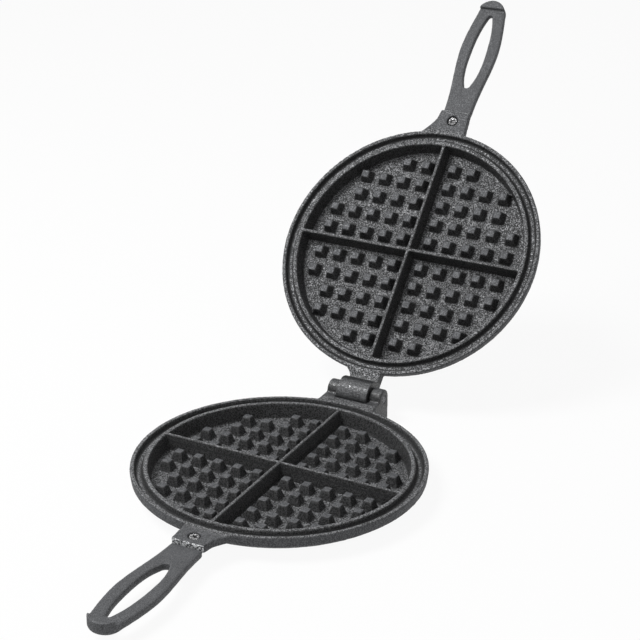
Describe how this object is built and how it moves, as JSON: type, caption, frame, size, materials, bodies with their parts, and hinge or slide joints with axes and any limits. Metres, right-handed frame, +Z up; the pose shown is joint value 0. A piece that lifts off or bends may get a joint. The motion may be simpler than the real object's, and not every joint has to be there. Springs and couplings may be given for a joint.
{
  "type": "waffle iron",
  "caption": "Round cast-iron stovetop waffle iron with hinged studded plates, quartering ribs, an overflow groove and bolted loop handles, standing open.",
  "frame": {"origin": "centre of the lower plate's flat base, on the table", "axes": "+Z up, -Y along the lower handle, +Y towards the hinge, X along the hinge pin"},
  "size_m": [0.1898, 0.5441, 0.245],
  "materials": {
    "plate_iron": "sand-cast, seasoned, matt with fine grain",
    "handle_iron": "sand-cast, slightly smoother than the plates",
    "fastener_steel": "zinc-plated, dulled",
    "pin_steel": "plain turned steel"
  },
  "bodies": {
    "lower_half": {"lower_plate": "plate_iron", "lower_handle": "handle_iron", "lower_handle_screw": "fastener_steel", "lower_handle_lock_washer": "fastener_steel", "lower_handle_nut": "fastener_steel", "hinge_pin": "pin_steel"},
    "upper_half": {"upper_plate": "plate_iron", "upper_handle": "handle_iron", "upper_handle_screw": "fastener_steel", "upper_handle_lock_washer": "fastener_steel", "upper_handle_nut": "fastener_steel"}
  },
  "joints": [
    {"name": "lid_hinge", "type": "hinge", "parent": "lower_half", "child": "upper_half", "pos_m": [0, 0.1115, 0.0167], "axis": [1, 0, 0], "range_deg": [0, 134]}
  ]
}
